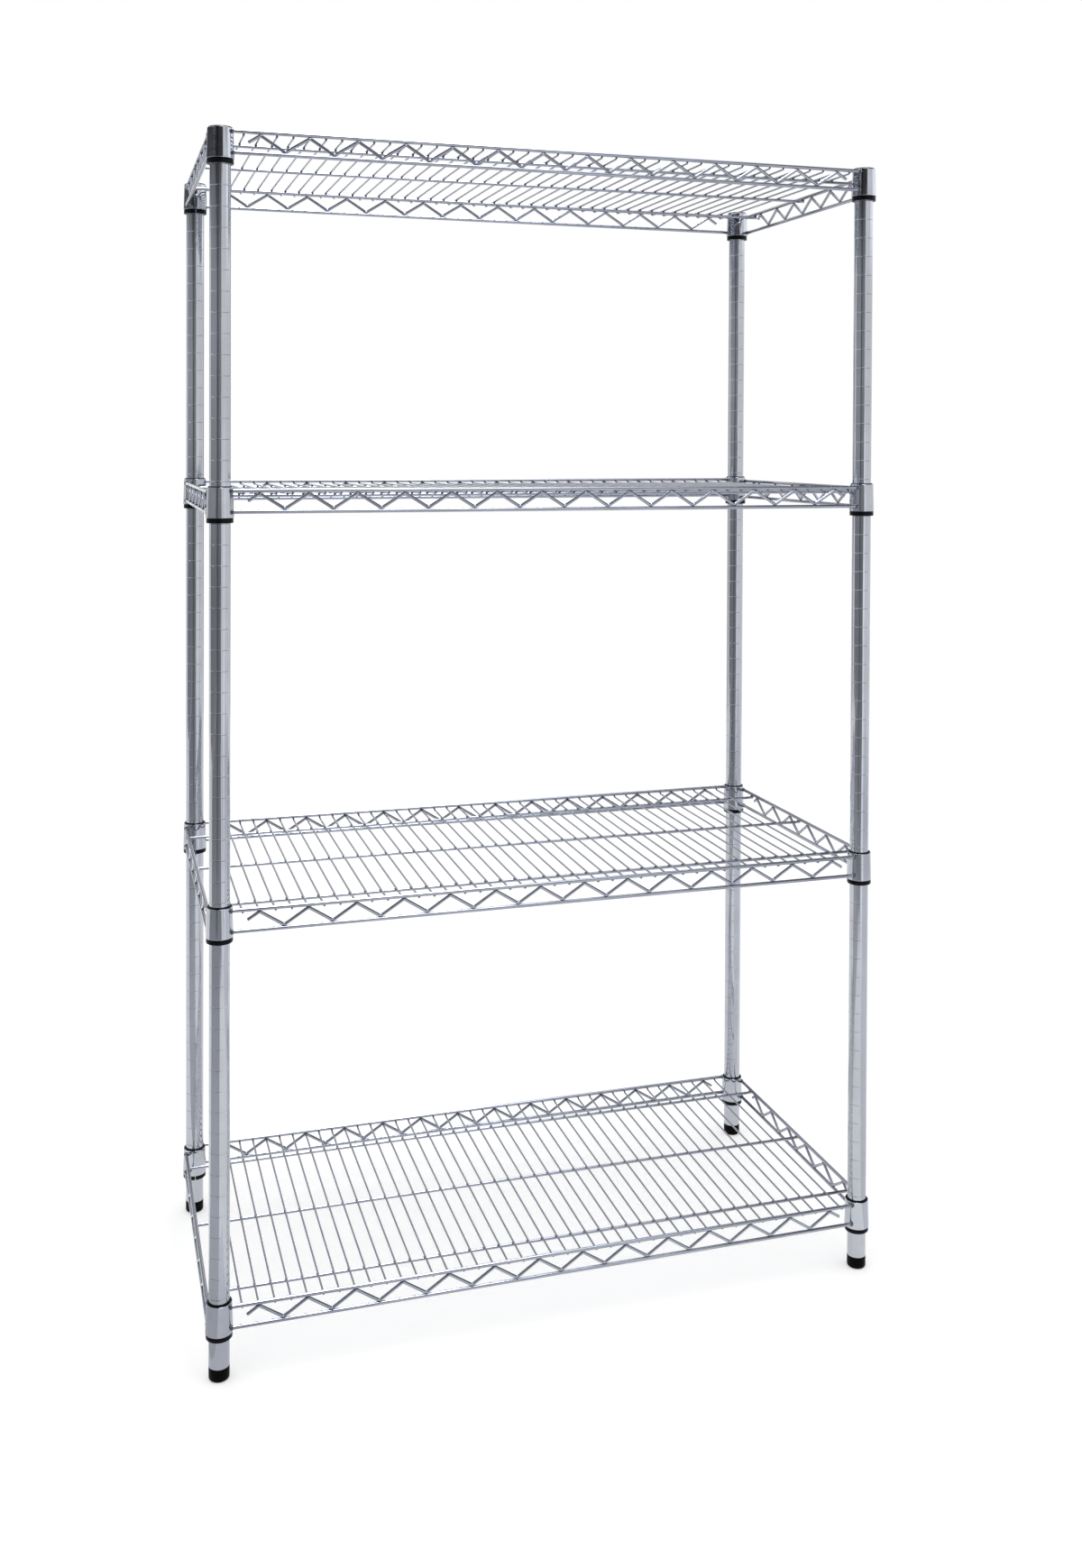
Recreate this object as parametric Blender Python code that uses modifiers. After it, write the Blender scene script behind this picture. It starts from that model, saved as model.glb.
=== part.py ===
"""Chrome wire shelving unit: four grooved posts carry four welded wire shelves on split tapered sleeves.

Frame: origin on the floor under the middle of the unit, X along the shelves, Y from front to back, Z up.
"""
import math

import bmesh
import bpy

# Plan and heights
POST_SPACING_X = 0.868
POST_SPACING_Y = 0.416
POST_LENGTH = 1.500
FOOT_HEIGHT = 0.016
CAP_HEIGHT = 0.002
GROOVE_PITCH = 0.0254
FIRST_SLEEVE_Z = 2 * GROOVE_PITCH
GROOVE_ROUNDING = 0.01
LOWER_SHELF_GROOVES = (0, 19, 39)
CLEARANCE = 0.0003
FACETS = 12
SHARP_ANGLE = math.radians(35)
MERGE_WITHIN = 0.000001
CUT_REACH = 0.004

# Posts, caps, inserts and feet
POST_RADIUS = 0.0127
POST_WALL = 0.0014
GROOVE_DEPTH = 0.0007
GROOVE_HALF_WIDTH = 0.0016
CAP_DOME = 0.0008
CAP_RIM = 0.0037
CAP_CROWN_DROP = 0.00025
CAP_PLUG_DEPTH = 0.012
INSERT_DEPTH = 0.022
STUD_RADIUS = 0.0047
STUD_LENGTH = 0.019
FOOT_EDGE = 0.0025

# Sleeves and collars: both taper together, widest at the bottom
SLEEVE_HEIGHT = 0.0445
SLEEVE_WALL = 0.0009
SLEEVE_TAPER = 0.0012
FLANGE_LEDGE = 0.0011
FLANGE_HEIGHT = 0.006
RIB_HEIGHT = 0.025
SLIT_WIDTH = 0.0012
COLLAR_TOP = 0.0448
COLLAR_WALL = 0.0014

# Shelf wires: square sections standing for round wire
RAIL_SIZE = 0.0048
ZIGZAG_SIZE = 0.0034
MAT_SIZE = 0.0028
SUPPORT_SIZE = 0.0040
RAIL_SPACING = 0.0256
ZIGZAG_BITE = 0.0011
WELD_DEPTH = 0.0006
LONG_RAIL_Z = 0.0391
LONG_RAIL_OFFSET = 0.010
END_RAIL_OFFSET = 0.013
RAIL_END_INSET = 0.006
MAT_PITCH = 0.01985
MAT_MARGIN = 0.025
WIRES_PER_ZIGZAG = 3
LONG_ZIGZAG_MARGIN = 0.035
END_ZIGZAG_PERIOD = 0.0583
END_ZIGZAG_MARGIN = 0.040
LONG_STUB = 0.0145
END_STUB = 0.009
SUPPORT_INSET = 0.042

# Sizes that follow from those above
POST_BORE = POST_RADIUS - POST_WALL
POST_TOP = FOOT_HEIGHT + POST_LENGTH
TOP_SLEEVE_Z = POST_TOP + CAP_HEIGHT - COLLAR_TOP
TOP_SHELF_GROOVE = math.floor((TOP_SLEEVE_Z - FIRST_SLEEVE_Z) / GROOVE_PITCH + GROOVE_ROUNDING)
SHELF_GROOVES = (*LOWER_SHELF_GROOVES, TOP_SHELF_GROOVE)
SLEEVE_BORE = POST_RADIUS + CLEARANCE
SLEEVE_TOP_RADIUS = SLEEVE_BORE + SLEEVE_WALL
SLEEVE_FOOT_RADIUS = SLEEVE_TOP_RADIUS + SLEEVE_TAPER
FLANGE_RADIUS = SLEEVE_FOOT_RADIUS + FLANGE_LEDGE
PLUG_RADIUS = POST_BORE - CLEARANCE
COLLAR_FOOT = FLANGE_HEIGHT + CLEARANCE
ZIGZAG_HEIGHT = RAIL_SPACING - RAIL_SIZE - ZIGZAG_SIZE + 2 * ZIGZAG_BITE
LONG_ZIGZAG_PERIOD = WIRES_PER_ZIGZAG * MAT_PITCH
LONG_RAIL_Y = POST_SPACING_Y / 2 + LONG_RAIL_OFFSET
END_RAIL_X = POST_SPACING_X / 2 + END_RAIL_OFFSET
MAT_Z = LONG_RAIL_Z - RAIL_SIZE / 2 - CLEARANCE - MAT_SIZE / 2
SUPPORT_Z = MAT_Z - MAT_SIZE / 2 - CLEARANCE - SUPPORT_SIZE / 2
CENTRE_SUPPORT_Z = MAT_Z - MAT_SIZE / 2 + WELD_DEPTH - SUPPORT_SIZE / 2
END_RAIL_Z = CENTRE_SUPPORT_Z + SUPPORT_SIZE / 2 + CLEARANCE + RAIL_SIZE / 2
MAT_HALF_LENGTH = LONG_RAIL_Y - ZIGZAG_SIZE / 2 - CLEARANCE
SUPPORT_HALF_LENGTH = END_RAIL_X + RAIL_SIZE / 2
SUPPORT_Y = POST_SPACING_Y / 2 - SUPPORT_INSET


def paired(span, margin, pitch):
    """How many evenly pitched copies, half of them on each side of the middle, fit in a span."""
    return 2 * math.floor((span / 2 - margin) / pitch + 0.5)


MAT_WIRES = paired(POST_SPACING_X, MAT_MARGIN, MAT_PITCH)
LONG_PEAKS = paired(POST_SPACING_X, LONG_ZIGZAG_MARGIN, LONG_ZIGZAG_PERIOD)
END_PEAKS = paired(POST_SPACING_Y, END_ZIGZAG_MARGIN, END_ZIGZAG_PERIOD)
CORNERS = {
    "front_left": (-POST_SPACING_X / 2, -POST_SPACING_Y / 2),
    "front_right": (POST_SPACING_X / 2, -POST_SPACING_Y / 2),
    "back_left": (-POST_SPACING_X / 2, POST_SPACING_Y / 2),
    "back_right": (POST_SPACING_X / 2, POST_SPACING_Y / 2),
}

for old in list(bpy.data.objects):
    bpy.data.objects.remove(old, do_unlink=True)
unit = bpy.data.collections.new("wire_shelving_unit")
bpy.context.scene.collection.children.link(unit)
cutters = bpy.data.collections.new("cutters")
bpy.context.scene.collection.children.link(cutters)


def material(name, colour, roughness, metallic):
    made = bpy.data.materials.new(name)
    made.use_nodes = True
    shader = made.node_tree.nodes["Principled BSDF"]
    shader.inputs["Base Color"].default_value = (*colour, 1)
    shader.inputs["Roughness"].default_value = roughness
    shader.inputs["Metallic"].default_value = metallic
    return made


CHROME_TUBE = material("chromed_tube", (0.78, 0.79, 0.83), 0.12, 1)
CHROME_WIRE = material("chromed_wire", (0.74, 0.75, 0.78), 0.18, 1)
SLEEVE_BLACK = material("black_sleeve_plastic", (0.02, 0.02, 0.022), 0.45, 0)
CAP_BLACK = material("black_cap_plastic", (0.025, 0.025, 0.028), 0.5, 0)
FOOT_BLACK = material("black_foot_plastic", (0.015, 0.015, 0.016), 0.6, 0)
ZINC = material("zinc_plated_insert", (0.6, 0.61, 0.62), 0.35, 1)


def helper(name, mesh):
    """A hidden object that takes part in a Boolean."""
    made = bpy.data.objects.new(name, mesh)
    cutters.objects.link(made)
    made.hide_render = True
    made.display_type = "WIRE"
    return made


def settled(obj):
    """The object's mesh with its modifiers applied and its seams welded; the object goes."""
    bpy.context.view_layer.update()
    graph = bpy.context.evaluated_depsgraph_get()
    mesh = bpy.data.meshes.new_from_object(obj.evaluated_get(graph))
    mesh.name = obj.name
    bpy.data.objects.remove(obj, do_unlink=True)
    shape = bmesh.new()
    shape.from_mesh(mesh)
    bmesh.ops.remove_doubles(shape, verts=shape.verts, dist=MERGE_WITHIN)
    bmesh.ops.recalc_face_normals(shape, faces=shape.faces)
    shape.to_mesh(mesh)
    shape.free()
    return mesh


def turned(name, profile):
    """A solid turned about Z from (radius, height) points that run down its outer side."""
    closed = profile[0][0] > 0
    count = len(profile)
    edges = [(i, (i + 1) % count) for i in range(count if closed else count - 1)]
    mesh = bpy.data.meshes.new(name)
    mesh.from_pydata([(radius, 0, height) for radius, height in profile], edges, [])
    obj = helper(name, mesh)
    screw = obj.modifiers.new("turn", "SCREW")
    screw.steps = FACETS
    screw.render_steps = FACETS
    screw.use_merge_vertices = True
    screw.merge_threshold = MERGE_WITHIN
    made = settled(obj)
    made.shade_smooth()
    made.set_sharp_from_angle(angle=SHARP_ANGLE)
    return made


def wires(name, paths, size):
    """Square-section wires, one along each path of points."""
    curve = bpy.data.curves.new(name, "CURVE")
    curve.dimensions = "3D"
    curve.bevel_depth = size / math.sqrt(2)
    curve.bevel_resolution = 0
    curve.use_fill_caps = True
    for path in paths:
        spline = curve.splines.new("POLY")
        spline.points.add(len(path) - 1)
        for point, place in zip(spline.points, path):
            point.co = (*place, 1)
            point.tilt = math.radians(45)
    return settled(helper(name, curve))


def combined(name, base, others, operation):
    """The base mesh after a Boolean with each of the other meshes in turn."""
    obj = helper(name, base)
    tools = [helper(name + "_tool", mesh) for mesh in others]
    for tool in tools:
        step = obj.modifiers.new(operation.lower(), "BOOLEAN")
        step.operation = operation
        step.object = tool
    made = settled(obj)
    for tool in tools:
        bpy.data.objects.remove(tool, do_unlink=True)
    return made


def block(name, low, high):
    """A closed box between two opposite corners."""
    mesh = bpy.data.meshes.new(name)
    shape = bmesh.new()
    bmesh.ops.create_cube(shape, size=1)
    bmesh.ops.scale(shape, verts=shape.verts, vec=[b - a for a, b in zip(low, high)])
    bmesh.ops.translate(shape, verts=shape.verts, vec=[(a + b) / 2 for a, b in zip(low, high)])
    shape.to_mesh(mesh)
    shape.free()
    return mesh


def cone(name, place, bottom, top, low, high):
    """A closed cone frustum standing at place, between two heights."""
    mesh = bpy.data.meshes.new(name)
    shape = bmesh.new()
    bmesh.ops.create_cone(
        shape, cap_ends=True, segments=FACETS, radius1=bottom, radius2=top, depth=high - low
    )
    bmesh.ops.translate(shape, verts=shape.verts, vec=(*place, (low + high) / 2))
    shape.to_mesh(mesh)
    shape.free()
    return mesh


def sleeve_radius(height):
    """Outer radius of the sleeve's taper at a height above the sleeve's bottom."""
    share = (height - FLANGE_HEIGHT) / (SLEEVE_HEIGHT - FLANGE_HEIGHT)
    return SLEEVE_FOOT_RADIUS + share * (SLEEVE_TOP_RADIUS - SLEEVE_FOOT_RADIUS)


def collar_cone(name, place, extra, reach):
    """The collar's taper with an extra radius, running past both its ends by reach."""
    low = COLLAR_FOOT - reach
    high = COLLAR_TOP + reach
    return cone(name, place, sleeve_radius(low) + extra, sleeve_radius(high) + extra, low, high)


def zigzag_path(peaks, period, stub, place):
    """Points of the truss zigzag along one side, from one free stub to the other."""
    half = ZIGZAG_HEIGHT / 2
    rise = half * (1 - 2 * stub / (period / 2))
    first = -(peaks - 1) * period / 2
    path = [place(first - stub, rise)]
    for i in range(2 * peaks - 1):
        path.append(place(first + i * period / 2, half if i % 2 == 0 else -half))
    path.append(place(-first + stub, rise))
    return path


def truss(name, half_length, peaks, period, stub, place):
    """Upper and lower rail of one side with the zigzag welded between them."""
    upper = RAIL_SPACING / 2
    rails = [[place(-half_length, side), place(half_length, side)] for side in (upper, -upper)]
    zigzag = zigzag_path(peaks, period, stub, place)
    made = wires(name, [zigzag], ZIGZAG_SIZE)
    return combined(name, made, [wires(name + "_rail", [rail], RAIL_SIZE) for rail in rails], "UNION")


def long_place(along, up):
    return (along, -LONG_RAIL_Y, LONG_RAIL_Z - RAIL_SPACING / 2 + up)


def end_place(along, up):
    return (-END_RAIL_X, along, END_RAIL_Z - RAIL_SPACING / 2 + up)


def long_truss():
    """Front truss; its rail ends are cut to the collars that they meet."""
    half_length = POST_SPACING_X / 2 - RAIL_END_INSET
    made = truss("long_truss", half_length, LONG_PEAKS, LONG_ZIGZAG_PERIOD, LONG_STUB, long_place)
    around = COLLAR_WALL + 2 * CLEARANCE
    ends = ("front_left", "front_right")
    cuts = [collar_cone("collar_cut", CORNERS[end], around, CUT_REACH) for end in ends]
    return combined("long_truss", made, cuts, "DIFFERENCE")


def end_frame():
    """Left end: the truss between two corner collars, welded to them, then both collars bored."""
    half_length = POST_SPACING_Y / 2 - RAIL_END_INSET
    made = truss("end_frame", half_length, END_PEAKS, END_ZIGZAG_PERIOD, END_STUB, end_place)
    ends = ("front_left", "back_left")
    collars = [collar_cone("collar", CORNERS[end], COLLAR_WALL + CLEARANCE, 0) for end in ends]
    made = combined("end_frame", made, collars, "UNION")
    bores = [collar_cone("collar_bore", CORNERS[end], CLEARANCE, CUT_REACH) for end in ends]
    return combined("end_frame", made, bores, "DIFFERENCE")


def wire_mat():
    """Cross wires welded to the centre support under them."""
    first = -(MAT_WIRES - 1) * MAT_PITCH / 2
    rows = [first + i * MAT_PITCH for i in range(MAT_WIRES)]
    crossing = [[(x, -MAT_HALF_LENGTH, MAT_Z), (x, MAT_HALF_LENGTH, MAT_Z)] for x in rows]
    return combined(
        "wire_mat",
        wires("wire_mat", [support_path(0, CENTRE_SUPPORT_Z)], SUPPORT_SIZE),
        [wires("cross_wires", crossing, MAT_SIZE)],
        "UNION",
    )


def support_path(y, z):
    return [(-SUPPORT_HALF_LENGTH, y, z), (SUPPORT_HALF_LENGTH, y, z)]


def post_profile():
    """Tube wall with a groove for each shelf's sleeve rib, from the foot up."""
    outer = [(POST_RADIUS, POST_LENGTH)]
    for groove in reversed(SHELF_GROOVES):
        height = FIRST_SLEEVE_Z + groove * GROOVE_PITCH + RIB_HEIGHT - FOOT_HEIGHT
        outer.append((POST_RADIUS, height + GROOVE_HALF_WIDTH))
        outer.append((POST_RADIUS - GROOVE_DEPTH, height))
        outer.append((POST_RADIUS, height - GROOVE_HALF_WIDTH))
    return outer + [(POST_RADIUS, 0), (POST_BORE, 0), (POST_BORE, POST_LENGTH)]


def sleeve_profile():
    return [
        (SLEEVE_TOP_RADIUS, SLEEVE_HEIGHT),
        (SLEEVE_FOOT_RADIUS, FLANGE_HEIGHT),
        (FLANGE_RADIUS, FLANGE_HEIGHT),
        (FLANGE_RADIUS, 0),
        (SLEEVE_BORE, 0),
        (SLEEVE_BORE, RIB_HEIGHT - GROOVE_HALF_WIDTH),
        (SLEEVE_BORE - GROOVE_DEPTH, RIB_HEIGHT),
        (SLEEVE_BORE, RIB_HEIGHT + GROOVE_HALF_WIDTH),
        (SLEEVE_BORE, SLEEVE_HEIGHT),
    ]


def split_sleeve():
    """The turned sleeve, slit down its +Y side so that it can snap round the post."""
    slit = block(
        "slit",
        (-SLIT_WIDTH / 2, 0, -CUT_REACH),
        (SLIT_WIDTH / 2, FLANGE_RADIUS + CUT_REACH, SLEEVE_HEIGHT + CUT_REACH),
    )
    return combined("sleeve", turned("sleeve", sleeve_profile()), [slit], "DIFFERENCE")


def cap_profile():
    return [
        (0, CAP_HEIGHT),
        (POST_RADIUS - CAP_RIM, CAP_HEIGHT - CAP_CROWN_DROP),
        (POST_RADIUS, CAP_HEIGHT - CAP_DOME),
        (POST_RADIUS, CLEARANCE),
        (PLUG_RADIUS, CLEARANCE),
        (PLUG_RADIUS, -CAP_PLUG_DEPTH),
        (0, -CAP_PLUG_DEPTH),
    ]


def insert_profile():
    return [
        (PLUG_RADIUS, INSERT_DEPTH),
        (PLUG_RADIUS, 0),
        (STUD_RADIUS + CLEARANCE, 0),
        (STUD_RADIUS + CLEARANCE, INSERT_DEPTH),
    ]


def foot_profile():
    pad_top = FOOT_HEIGHT - CLEARANCE
    return [
        (0, FOOT_HEIGHT + STUD_LENGTH),
        (STUD_RADIUS, FOOT_HEIGHT + STUD_LENGTH),
        (STUD_RADIUS, pad_top),
        (POST_RADIUS, pad_top),
        (POST_RADIUS, FOOT_EDGE),
        (POST_RADIUS - FOOT_EDGE, 0),
        (0, 0),
    ]


def piece(name, mesh, place, coat, parent=None, turn=0):
    """One named sub-part; pieces of the same kind share their mesh."""
    obj = bpy.data.objects.new(name, mesh)
    obj.location = place
    obj.rotation_euler = (0, 0, turn)
    obj.parent = parent
    if not mesh.materials:
        mesh.materials.append(coat)
    unit.objects.link(obj)
    return obj


post = turned("post", post_profile())
sleeve = split_sleeve()
cap = turned("post_cap", cap_profile())
insert = turned("foot_insert", insert_profile())
foot = turned("levelling_foot", foot_profile())
for corner, (x, y) in CORNERS.items():
    piece("post_" + corner, post, (x, y, FOOT_HEIGHT), CHROME_TUBE)
    piece("post_cap_" + corner, cap, (x, y, POST_TOP), CAP_BLACK)
    piece("foot_insert_" + corner, insert, (x, y, FOOT_HEIGHT), ZINC)
    piece("levelling_foot_" + corner, foot, (x, y, 0), FOOT_BLACK)

long_side = long_truss()
short_side = end_frame()
mat = wire_mat()
support = wires("support", [support_path(-SUPPORT_Y, SUPPORT_Z)], SUPPORT_SIZE)
for number, groove in enumerate(SHELF_GROOVES, start=1):
    shelf = bpy.data.objects.new(f"shelf_{number}", None)
    shelf.location = (0, 0, FIRST_SLEEVE_Z + groove * GROOVE_PITCH)
    unit.objects.link(shelf)
    name = shelf.name
    piece(name + "_left_end_frame", short_side, (0, 0, 0), CHROME_WIRE, shelf)
    piece(name + "_right_end_frame", short_side, (0, 0, 0), CHROME_WIRE, shelf, math.pi)
    piece(name + "_front_truss", long_side, (0, 0, 0), CHROME_WIRE, shelf)
    piece(name + "_back_truss", long_side, (0, 0, 0), CHROME_WIRE, shelf, math.pi)
    piece(name + "_wire_mat", mat, (0, 0, 0), CHROME_WIRE, shelf)
    piece(name + "_front_support", support, (0, 0, 0), CHROME_WIRE, shelf)
    piece(name + "_back_support", support, (0, 0, 0), CHROME_WIRE, shelf, math.pi)
    for corner, (x, y) in CORNERS.items():
        inward = 0 if y < 0 else math.pi
        place = (x, y, shelf.location.z)
        piece(f"sleeve_{number}_{corner}", sleeve, place, SLEEVE_BLACK, turn=inward)
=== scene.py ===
import math

import bmesh
import bpy
from mathutils import Matrix, Vector


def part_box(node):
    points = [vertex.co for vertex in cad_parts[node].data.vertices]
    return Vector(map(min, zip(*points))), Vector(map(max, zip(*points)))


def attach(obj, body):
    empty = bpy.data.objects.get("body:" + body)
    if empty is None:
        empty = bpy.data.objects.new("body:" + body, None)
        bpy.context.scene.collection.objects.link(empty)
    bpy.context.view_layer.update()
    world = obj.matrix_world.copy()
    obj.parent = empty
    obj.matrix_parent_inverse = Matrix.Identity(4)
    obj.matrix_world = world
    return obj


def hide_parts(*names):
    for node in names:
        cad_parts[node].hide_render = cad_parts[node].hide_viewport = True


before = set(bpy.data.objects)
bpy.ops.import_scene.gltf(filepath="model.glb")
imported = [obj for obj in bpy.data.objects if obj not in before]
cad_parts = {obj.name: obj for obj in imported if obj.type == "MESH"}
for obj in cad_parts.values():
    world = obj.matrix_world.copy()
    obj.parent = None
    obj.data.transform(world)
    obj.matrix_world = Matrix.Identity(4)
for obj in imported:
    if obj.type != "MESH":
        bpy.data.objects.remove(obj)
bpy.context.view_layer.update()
scene = bpy.context.scene
cornerNames = ("front_left", "front_right", "back_left", "back_right")
shelfNumbers = (1, 2, 3, 4)
upAxis = Vector((0, 0, 1))
halfTurn = Matrix.Rotation(math.pi, 4, "Z")
fullTurn = 2 * math.pi
print("frame loaded:", len(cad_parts), "nodes")


# Camera: fitted to the photograph's 1200 x 1739 frame
cameraSetup = {
    "place": (-0.5923, -2.0421, 1.1397),
    "yaw": 0.2982,
    "pitch": -0.0147,
    "roll": 0.0041,
    "focalPixels": 1653.8,
    "imageHeight": 1739,
    "axisRow": 515.5,  # image row of the optical axis: the frame is shifted down from it
    "sensorWidth": 36,
    "farClip": 100,
}


def addCamera(setup):
    lens = bpy.data.cameras.new("camera")
    lens.sensor_width = setup["sensorWidth"]
    lens.lens = setup["focalPixels"] * lens.sensor_width / setup["imageHeight"]
    lens.shift_y = (setup["axisRow"] - setup["imageHeight"] / 2) / setup["imageHeight"]
    lens.clip_end = setup["farClip"]
    yaw, pitch, roll = setup["yaw"], setup["pitch"], setup["roll"]
    ahead = Vector((math.sin(yaw) * math.cos(pitch), math.cos(yaw) * math.cos(pitch), math.sin(pitch)))
    right = Vector((math.cos(yaw), -math.sin(yaw), 0))
    above = right.cross(ahead)
    tilt = Matrix.Rotation(roll, 3, -ahead)
    columns = (tilt @ right, tilt @ above, -ahead)
    camera = bpy.data.objects.new("camera", lens)
    camera.matrix_world = Matrix.Translation(setup["place"]) @ Matrix(columns).transposed().to_4x4()
    scene.collection.objects.link(camera)
    scene.camera = camera


addCamera(cameraSetup)
print("camera placed")


# Shared shader effects
def newGroup(name, inputs, outputs):
    group = bpy.data.node_groups.new(name, "ShaderNodeTree")
    for label, kind, value in inputs:
        socket = group.interface.new_socket(label, in_out="INPUT", socket_type=kind)
        if value is not None:
            socket.default_value = value
    for label, kind in outputs:
        group.interface.new_socket(label, in_out="OUTPUT", socket_type=kind)
    return group, group.nodes.new("NodeGroupInput"), group.nodes.new("NodeGroupOutput")


def noiseNode(tree, detail, roughness=0.55):
    noise = tree.nodes.new("ShaderNodeTexNoise")
    noise.inputs["Detail"].default_value = detail
    noise.inputs["Roughness"].default_value = roughness
    return noise


def rangeNode(tree, low, high, toLow=0.0, toHigh=1.0):
    node = tree.nodes.new("ShaderNodeMapRange")
    node.interpolation_type = "SMOOTHSTEP"
    node.inputs["From Min"].default_value = low
    node.inputs["From Max"].default_value = high
    node.inputs["To Min"].default_value = toLow
    node.inputs["To Max"].default_value = toHigh
    return node


platingPattern = {
    "hazeDetail": 4.0,
    "hazeRange": (0.36, 0.68),
    "lineDetail": 2.0,
    "lineRoughness": 0.7,
    "speckDetail": 1.0,
    "speckRange": (0.70, 0.78),
}


def makePlatingGroup(look):
    # Haze: broad cloudy film in the plating. Lines: fine marks drawn along one axis. Specks: pinhole dust.
    group, inside, outside = newGroup(
        "platingWear",
        [
            ("Vector", "NodeSocketVector", None),
            ("Haze Scale", "NodeSocketFloat", 14.0),
            ("Speck Scale", "NodeSocketFloat", 420.0),
            ("Line Stretch", "NodeSocketVector", (900.0, 900.0, 9.0)),
        ],
        [("Haze", "NodeSocketFloat"), ("Lines", "NodeSocketFloat"), ("Specks", "NodeSocketFloat")],
    )
    link = group.links.new
    haze = noiseNode(group, look["hazeDetail"])
    hazeRange = rangeNode(group, *look["hazeRange"])
    link(inside.outputs["Vector"], haze.inputs["Vector"])
    link(inside.outputs["Haze Scale"], haze.inputs["Scale"])
    link(haze.outputs["Fac"], hazeRange.inputs["Value"])
    link(hazeRange.outputs["Result"], outside.inputs["Haze"])
    stretch = group.nodes.new("ShaderNodeVectorMath")
    stretch.operation = "MULTIPLY"
    lines = noiseNode(group, look["lineDetail"], look["lineRoughness"])
    lines.inputs["Scale"].default_value = 1.0
    link(inside.outputs["Vector"], stretch.inputs[0])
    link(inside.outputs["Line Stretch"], stretch.inputs[1])
    link(stretch.outputs["Vector"], lines.inputs["Vector"])
    link(lines.outputs["Fac"], outside.inputs["Lines"])
    specks = noiseNode(group, look["speckDetail"])
    speckRange = rangeNode(group, *look["speckRange"])
    link(inside.outputs["Vector"], specks.inputs["Vector"])
    link(inside.outputs["Speck Scale"], specks.inputs["Scale"])
    link(specks.outputs["Fac"], speckRange.inputs["Value"])
    link(speckRange.outputs["Result"], outside.inputs["Specks"])
    return group


mouldPattern = {
    "grainDetail": 3.0,
    "grainRoughness": 0.6,
    "scuffDetail": 5.0,
    "scuffRoughness": 0.62,
    "scuffRange": (0.52, 0.72),
}


def makeMouldingGroup(look):
    # Grain: the fine spark-eroded texture of a mould. Scuffs: paler rubbed patches.
    group, inside, outside = newGroup(
        "mouldedGrain",
        [
            ("Vector", "NodeSocketVector", None),
            ("Grain Scale", "NodeSocketFloat", 1400.0),
            ("Scuff Scale", "NodeSocketFloat", 60.0),
        ],
        [("Grain", "NodeSocketFloat"), ("Scuffs", "NodeSocketFloat")],
    )
    link = group.links.new
    grain = noiseNode(group, look["grainDetail"], look["grainRoughness"])
    link(inside.outputs["Vector"], grain.inputs["Vector"])
    link(inside.outputs["Grain Scale"], grain.inputs["Scale"])
    link(grain.outputs["Fac"], outside.inputs["Grain"])
    scuffs = noiseNode(group, look["scuffDetail"], look["scuffRoughness"])
    scuffRange = rangeNode(group, *look["scuffRange"])
    link(inside.outputs["Vector"], scuffs.inputs["Vector"])
    link(inside.outputs["Scuff Scale"], scuffs.inputs["Scale"])
    link(scuffs.outputs["Fac"], scuffRange.inputs["Value"])
    link(scuffRange.outputs["Result"], outside.inputs["Scuffs"])
    return group


platingGroup = makePlatingGroup(platingPattern)
mouldingGroup = makeMouldingGroup(mouldPattern)


def newMaterial(name):
    made = bpy.data.materials.new(name)
    made.use_nodes = True
    return made, made.node_tree, made.node_tree.nodes["Principled BSDF"]


def groupNode(tree, group, values):
    node = tree.nodes.new("ShaderNodeGroup")
    node.node_tree = group
    for label, value in values.items():
        node.inputs[label].default_value = value
    where = tree.nodes.new("ShaderNodeTexCoord")
    tree.links.new(where.outputs["Object"], node.inputs["Vector"])
    return node


def mixColour(tree, low, high, factor):
    # A colour mix has its factor at input 0, its two colours at 6 and 7, and its result at output 2
    node = tree.nodes.new("ShaderNodeMix")
    node.data_type = "RGBA"
    for socket, value in ((node.inputs[6], low), (node.inputs[7], high)):
        if isinstance(value, tuple):
            socket.default_value = (*value, 1)
        else:
            tree.links.new(value, socket)
    tree.links.new(factor, node.inputs[0])
    return node.outputs[2]


def addBump(tree, shader, height, strength, distance):
    bump = tree.nodes.new("ShaderNodeBump")
    bump.inputs["Strength"].default_value = strength
    bump.inputs["Distance"].default_value = distance
    tree.links.new(height, bump.inputs["Height"])
    tree.links.new(bump.outputs["Normal"], shader.inputs["Normal"])


def chromeMaterial(look):
    made, tree, shader = newMaterial(look["name"])
    link = tree.links.new
    shader.inputs["Metallic"].default_value = 1
    wear = groupNode(tree, platingGroup, look["wear"])
    filmed = mixColour(tree, look["clean"], look["film"], wear.outputs["Haze"])
    specked = mixColour(tree, filmed, look["speck"], wear.outputs["Specks"])
    weld = tree.nodes.new("ShaderNodeAttribute")
    weld.attribute_name = "weldShade"
    link(mixColour(tree, specked, look["weld"], weld.outputs["Fac"]), shader.inputs["Base Color"])
    rough = rangeNode(tree, 0.0, 1.0, *look["roughness"])
    link(wear.outputs["Haze"], rough.inputs["Value"])
    burnt = tree.nodes.new("ShaderNodeMath")
    burnt.operation = "MULTIPLY_ADD"
    burnt.inputs[1].default_value = look["weldRoughness"]
    link(weld.outputs["Fac"], burnt.inputs[0])
    link(rough.outputs["Result"], burnt.inputs[2])
    link(burnt.outputs["Value"], shader.inputs["Roughness"])
    addBump(tree, shader, wear.outputs["Lines"], *look["bump"])
    return made


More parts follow.
